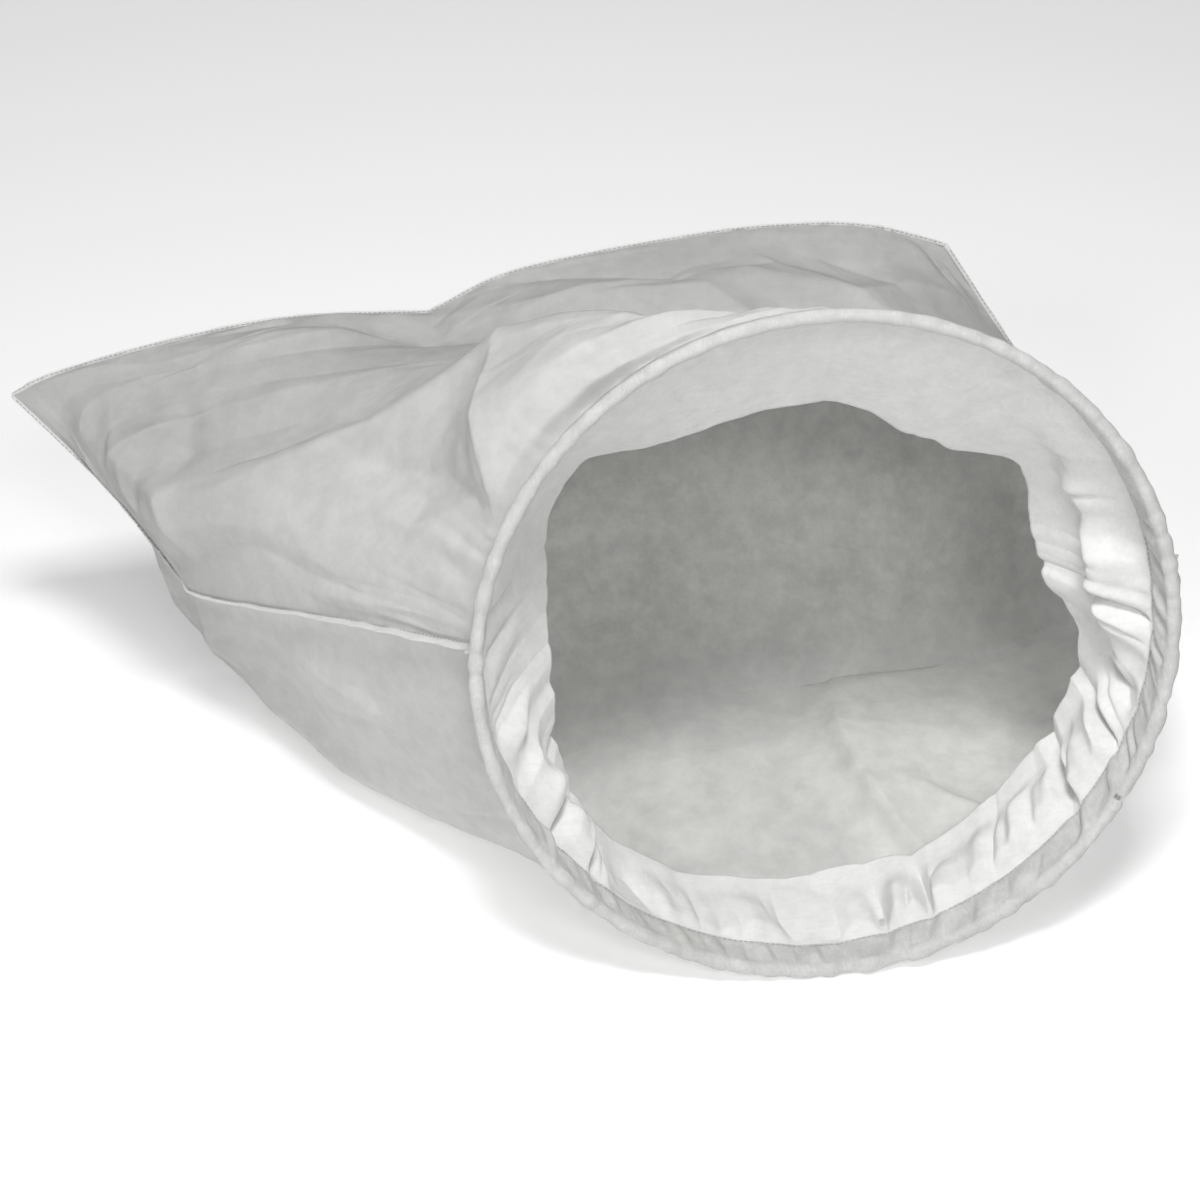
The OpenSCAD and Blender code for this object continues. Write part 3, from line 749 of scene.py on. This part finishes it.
def metal_material(name, base, rough):
    m = Nodes(name)
    grain = m.noise(0.0012, 4, 0.6, 0.0, m.stretched((1, 1, 6)))
    wear = m.noise(0.02, 5, 0.6, 0.4)
    m.link(m.ramp(wear, "Fac", 0.35, 0.7, tuple(c * 0.75 for c in base), base), "Color", m.bsdf, "Base Color")
    polish = m.ramp(grain, "Fac", 0.3, 0.7, (rough * 0.7,) * 3, (rough * 1.3,) * 3)
    m.link(polish, "Color", m.bsdf, "Roughness")
    m.bsdf.inputs["Metallic"].default_value = 1.0
    bump = m.add("Bump")
    bump.inputs["Strength"].default_value = 0.2
    bump.inputs["Distance"].default_value = 0.0001
    m.link(grain, "Fac", bump, "Height")
    m.link(bump, "Normal", m.bsdf, "Normal")
    return m.material


# the outer panel cloth is painted darker toward the closed end as painted shade (far_shade)
panel_cloth = nonwoven("panel_cloth", base=(0.90, 0.897, 0.89), cloud_dark=0.94, fibre=0.06, through=0.44,
                       uneven=0.10, stain=0.06, far_shade=0.74)
# inside of the panels: the panel cloth painted darker as painted shade inside the bag, with dust marks; its
# floor gets painted light
inner_cloth_dust_and_painted_shade = nonwoven("inner_cloth_dust_and_painted_shade", base=(0.80, 0.80, 0.77), cloud_dark=0.84, fibre=0.10, through=0.50,
                       uneven=0.14, stain=0.55, painted_lit_floor=(0.84, 0.84, 0.82))
band_cloth = nonwoven("band_cloth", base=(0.93, 0.93, 0.92), cloud_dark=0.90, fibre=0.09, through=0.14)
rim_cloth = nonwoven("rim_cloth", base=(0.78, 0.78, 0.765), cloud_dark=0.80, fibre=0.14, through=0.15,
                     stain=0.22)
seam_cloth = nonwoven("seam_cloth", base=(0.87, 0.87, 0.86), cloud_dark=0.92, fibre=0.05, through=0.20)
thread = thread_material("sewing_thread", (0.62, 0.62, 0.60))
for ob in (top_cloth, bottom_cloth):
    ob.data.materials.append(panel_cloth)
    ob.data.materials.append(inner_cloth_dust_and_painted_shade)
mouth_band.data.materials.append(band_cloth)
mouth_band.data.materials.append(rim_cloth)
for ob in (hem_stitches, *seam_threads.values()):
    ob.data.materials.append(thread)
for ob in (left_end, right_end, cuff_lap, *seam_pieces.values()):
    ob.data.materials.append(seam_cloth)
for node, material in (("hoop", metal_material("spring_steel", (0.55, 0.55, 0.56), 0.3)),
                       ("hoop_ferrule", metal_material("ferrule_metal", (0.75, 0.75, 0.76), 0.4))):
    for slot in bpy.data.objects[node].material_slots:
        slot.material = material

# ---------------------------------------------------------------- riding
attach(mouth_band, "mouth")
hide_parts("mouth_hem", "inner_cuff")
for ob, node in ((left_end, "left_seam_end"), (right_end, "right_seam_end"), (cuff_lap, "cuff_joint")):
    apply_all(ob)
    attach(ob, "mouth")
    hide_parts(node)
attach(hem_stitches, "mouth")
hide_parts("hem_stitching")
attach(seam_pieces["end_seam_cloth"], "bag")
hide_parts("end_seam")
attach(seam_threads["end_seam_stitches"], "bag")
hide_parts("end_seam_stitching")
for ob, nodes in ((top_cloth, ["top_panel"]), (bottom_cloth, ["bottom_panel"]),
                  (seam_pieces["left_seam"], ["left_side_seam"]),
                  (seam_pieces["right_seam"], ["right_side_seam"]),
                  (seam_threads["left_seam_stitches"], ["left_seam_stitching"]),
                  (seam_threads["right_seam_stitches"], ["right_seam_stitching"])):
    apply_all(ob)
    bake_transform(ob)
    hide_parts(*nodes)

# ---------------------------------------------------------------- floor, light and camera
LIGHT_AIM = (0.0, -0.05, 0.15)


def area_light(name, loc, size, power):
    data = bpy.data.lights.new(name, "AREA")
    data.shape = "RECTANGLE"
    data.size, data.size_y = size
    data.energy = power
    ob = bpy.data.objects.new(name, data)
    bpy.context.collection.objects.link(ob)
    ob.location = loc
    ob.rotation_euler = (Vector(LIGHT_AIM) - Vector(loc)).to_track_quat("-Z", "Y").to_euler()


FLOOR_HALF = 12
floor_mesh = bpy.data.meshes.new("floor")
corners = [(-FLOOR_HALF, -FLOOR_HALF, 0), (FLOOR_HALF, -FLOOR_HALF, 0), (FLOOR_HALF, FLOOR_HALF, 0),
           (-FLOOR_HALF, FLOOR_HALF, 0)]
floor_mesh.from_pydata(corners, [], [(0, 1, 2, 3)])
floor = bpy.data.objects.new("floor", floor_mesh)
bpy.context.collection.objects.link(floor)
fm = bpy.data.materials.new("floor")
fm.use_nodes = True
fb = fm.node_tree.nodes["Principled BSDF"]
fb.inputs["Base Color"].default_value = (0.92, 0.92, 0.92, 1)
fb.inputs["Roughness"].default_value = 0.9
fb.inputs["Emission Color"].default_value = (1, 1, 1, 1)
fb.inputs["Emission Strength"].default_value = 0.28
floor.data.materials.append(fm)

area_light("key", (0.0, -1.0, 2.8), (0.7, 0.5), 50)
area_light("front_left", (-1.5, -2.2, 2.2), (0.6, 0.5), 15)
area_light("front", (0.2, -2.5, 2.4), (0.8, 0.6), 23)
area_light("left_fill", (-2.6, -1.0, 1.6), (1.2, 1.0), 4)
area_light("back_fill", (0.0, 1.6, 2.6), (0.8, 0.6), 7)
world = bpy.data.worlds.new("world")
bpy.context.scene.world = world
world.use_nodes = True
sky = world.node_tree.nodes["Background"].inputs
sky["Color"].default_value = (1, 1, 1, 1)
sky["Strength"].default_value = 0.05
bpy.context.scene.view_settings.view_transform = "Standard"

AIM = np.array([-134.8, 264.7, 154.5])
AZ, EL, DIST, LENS_MM = math.radians(-7.0), math.radians(36.73), 2300.0, 91.17
back = np.array([math.sin(AZ) * math.cos(EL), -math.cos(AZ) * math.cos(EL), math.sin(EL)])
cam_data = bpy.data.cameras.new("camera")
cam_data.lens = LENS_MM
cam_data.sensor_width = 36.0
cam = bpy.data.objects.new("camera", cam_data)
bpy.context.collection.objects.link(cam)
cam.location = to_frame(AIM + back * DIST)[0]
cam.rotation_mode = "QUATERNION"
cam.rotation_quaternion = Vector(-back).to_track_quat("-Z", "Y")
bpy.context.scene.camera = cam
